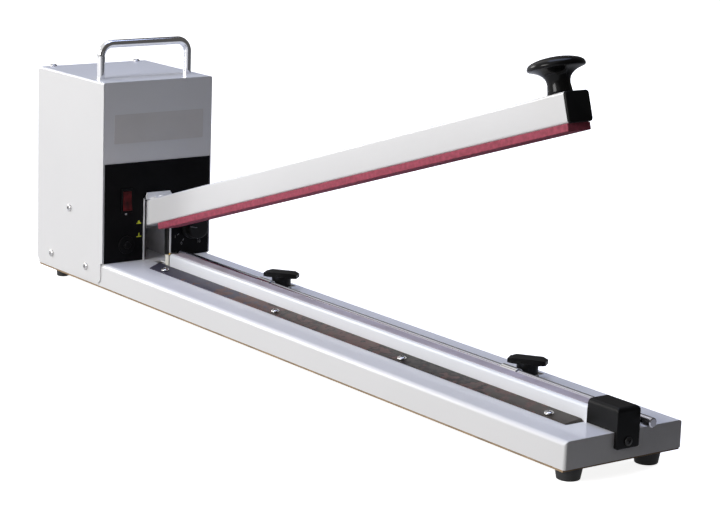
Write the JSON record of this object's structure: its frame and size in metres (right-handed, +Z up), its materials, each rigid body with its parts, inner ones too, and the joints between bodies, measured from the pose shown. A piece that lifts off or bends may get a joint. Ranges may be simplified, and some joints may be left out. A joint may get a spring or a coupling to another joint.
{
  "type": "long-arm impulse bag sealer",
  "caption": "White long-arm impulse bag sealer for a shop counter: raised sealing arm with mushroom lift knob, control housing with carry handle, aluminium sealing bar and clamped cover rod.",
  "frame": {"origin": "middle of the object's footprint, on the counter that its feet stand on", "axes": "+X along the base from the control housing to the free end, -Y toward the user, +Z up"},
  "size_m": [0.846, 0.1302, 0.3188],
  "materials": {
    "white": "semi-gloss",
    "board": "matt",
    "rubber": "matt",
    "bright_steel": "satin",
    "panel_black": "satin",
    "sticker": "matt",
    "chrome": "polished",
    "nylon": "matt",
    "spring_steel": "satin",
    "brass": "satin",
    "black_plastic": "gloss",
    "silicone": "matt",
    "aluminium": "satin",
    "glass_tape": "matt",
    "release_cloth": "satin",
    "cream_plastic": "matt",
    "polished_steel": "polished",
    "core_steel": "matt",
    "winding": "satin",
    "circuit_board": "satin",
    "zinc": "satin",
    "red_plastic": "gloss",
    "grey_plastic": "satin",
    "wire": "satin"
  },
  "bodies": {
    "base": {"base_tray": "white", "housing_cover": "white", "front_plate": "white", "rear_panel": "white", "hinge_bracket": "white", "bottom_plate": "board", "front_feet": "rubber", "rear_feet": "rubber", "foot_screws": "bright_steel", "cover_screws": "bright_steel", "handle_screws": "bright_steel", "bracket_screws": "bright_steel", "bar_screws": "bright_steel", "end_block_screw": "bright_steel", "ramp_screws": "bright_steel", "spring_anchor": "bright_steel", "clamp_studs": "bright_steel", "transformer_shelf": "bright_steel", "hinge_pin": "bright_steel", "control_panel": "panel_black", "label_sticker": "sticker", "carry_handle": "chrome", "guide_strips": "nylon", "clamp_spacers": "nylon", "hinge_clips": "spring_steel", "return_spring": "spring_steel", "heating_ribbon": "spring_steel", "terminal_screws": "brass", "end_block": "black_plastic", "rocker_frame": "black_plastic", "breaker_body": "black_plastic", "microswitch": "black_plastic", "cable_gland": "black_plastic", "sealing_bar": "aluminium", "glass_tape": "glass_tape", "release_sheet": "release_cloth", "terminal_post": "cream_plastic", "bag_ramp": "polished_steel", "transformer_core": "core_steel", "transformer_coil": "winding", "timer_board": "circuit_board", "timer_pot": "zinc", "wiring": "wire"},
    "arm": {"arm_tube": "white", "hinge_sleeve": "brass", "arm_end_cap": "black_plastic", "sealing_pad": "silicone", "lift_knob": "black_plastic", "lift_knob_screw": "bright_steel", "stop_plate": "white", "spring_peg": "bright_steel"},
    "power_rocker": {"rocker": "red_plastic"},
    "reset_button": {"breaker_button": "grey_plastic"},
    "timer_dial": {"timer_knob": "black_plastic", "pot_shaft": "zinc"},
    "rod": {"clamp_rod": "chrome"},
    "strap_1": {"rod_strap_1": "chrome"},
    "strap_2": {"rod_strap_2": "chrome"},
    "knob_1": {"clamp_knob_1": "black_plastic"},
    "knob_2": {"clamp_knob_2": "black_plastic"}
  },
  "joints": [
    {"name": "arm_hinge", "type": "hinge", "parent": "base", "child": "arm", "pos_m": [-0.326, 0, 0.07075], "axis": [0, 1, 0], "range_deg": [0, 17.6], "stiffness_Nm_per_rad": 5, "springref_deg": -57.3, "deforming": ["return_spring"]},
    {"name": "power_rocker_hinge", "type": "hinge", "parent": "base", "child": "power_rocker", "pos_m": [-0.2816, -0.036, 0.099], "axis": [0, 1, 0], "range_deg": [0, 12]},
    {"name": "reset_button_slide", "type": "slide", "parent": "base", "child": "reset_button", "axis": [1, 0, 0], "range_m": [0, 0.0035]},
    {"name": "timer_dial_hinge", "type": "hinge", "parent": "base", "child": "timer_dial", "pos_m": [-0.2787, 0.0395, 0.0675], "axis": [1, 0, 0], "range_deg": [-240, 60]},
    {"name": "rod_slide", "type": "slide", "parent": "base", "child": "rod", "axis": [1, 0, 0], "range_m": [0, 0.1]},
    {"name": "strap_1_lift", "type": "slide", "parent": "base", "child": "strap_1", "axis": [0, 0, 1], "range_m": [0, 0.001]},
    {"name": "knob_1_turn", "type": "hinge", "parent": "strap_1", "child": "knob_1", "pos_m": [-0.112, 0.03493, 0.04105], "axis": [0, 0, 1], "range_deg": [0, 360]},
    {"name": "strap_2_lift", "type": "slide", "parent": "base", "child": "strap_2", "axis": [0, 0, 1], "range_m": [0, 0.001]},
    {"name": "knob_2_turn", "type": "hinge", "parent": "strap_2", "child": "knob_2", "pos_m": [0.251, 0.03493, 0.04105], "axis": [0, 0, 1], "range_deg": [0, 360]}
  ],
  "couplings": [
    {"joint": "knob_1_turn", "follows": "strap_1_lift", "rad_per_m": 6283.2},
    {"joint": "knob_2_turn", "follows": "strap_2_lift", "rad_per_m": 6283.2}
  ]
}
